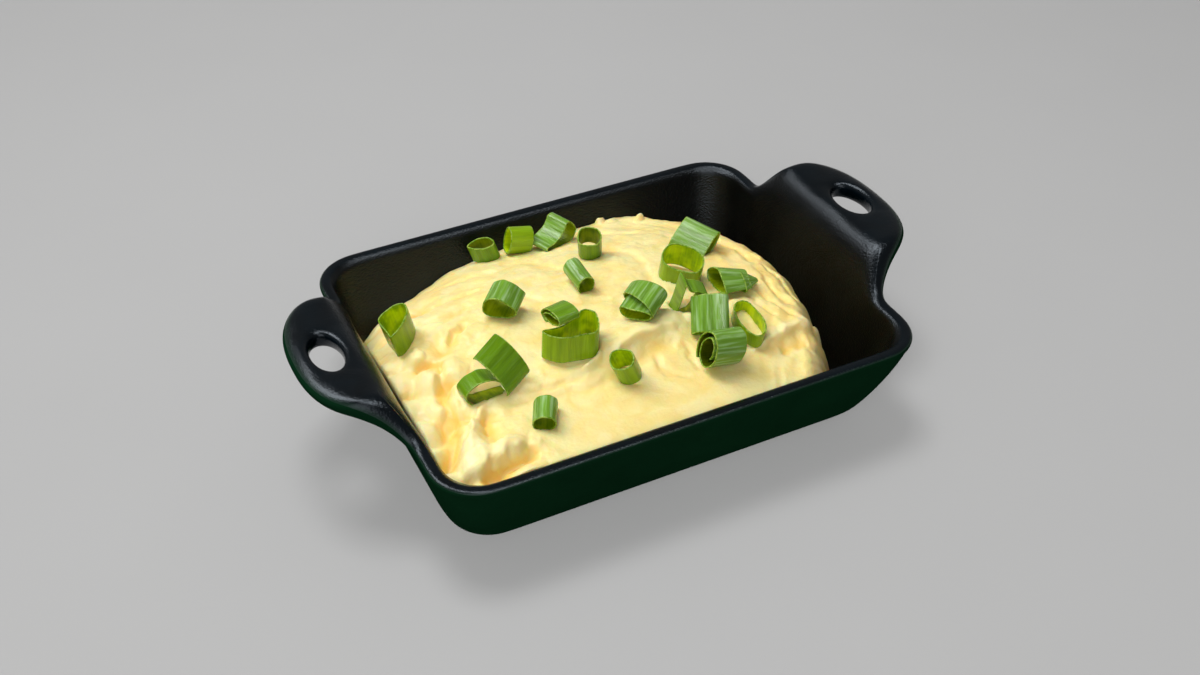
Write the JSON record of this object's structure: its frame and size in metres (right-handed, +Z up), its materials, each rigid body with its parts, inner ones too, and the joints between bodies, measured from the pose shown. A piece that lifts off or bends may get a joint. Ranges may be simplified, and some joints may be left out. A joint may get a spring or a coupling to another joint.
{
  "type": "mashed potato side dish",
  "caption": "Rectangular cast iron serving dish with two raised, holed ear handles, filled with a spooned heap of mashed potato scattered with cut spring onion.",
  "frame": {"origin": "centre of the dish's flat base, on the surface it stands on", "axes": "+X along the dish from ear to ear towards its empty end, +Y across it away from the side where the heap reaches the rim, +Z up"},
  "size_m": [0.18, 0.113, 0.0498],
  "materials": {
    "iron": "seasoned black cast iron with a satin sheen on rim, handles and inside, and a thin dark green coat on the outside of the walls",
    "potato": "creamy yellow mashed potato, soft and slightly moist, with spooned ridges and folds",
    "leaf": "fresh spring onion leaf, satin and veined outside, paler and yellower inside and on the cut edges"
  },
  "bodies": {
    "root": {"dish": "iron", "mash": "potato", "onion_01": "leaf", "onion_02": "leaf", "onion_03": "leaf", "onion_04": "leaf", "onion_05": "leaf", "onion_06": "leaf", "onion_07": "leaf", "onion_08": "leaf", "onion_09": "leaf", "onion_10": "leaf", "onion_11": "leaf", "onion_12": "leaf", "onion_13": "leaf", "onion_14": "leaf", "onion_15": "leaf", "onion_16": "leaf", "onion_17": "leaf", "onion_18": "leaf", "onion_19": "leaf", "onion_20": "leaf", "onion_21": "leaf"}
  },
  "joints": []
}
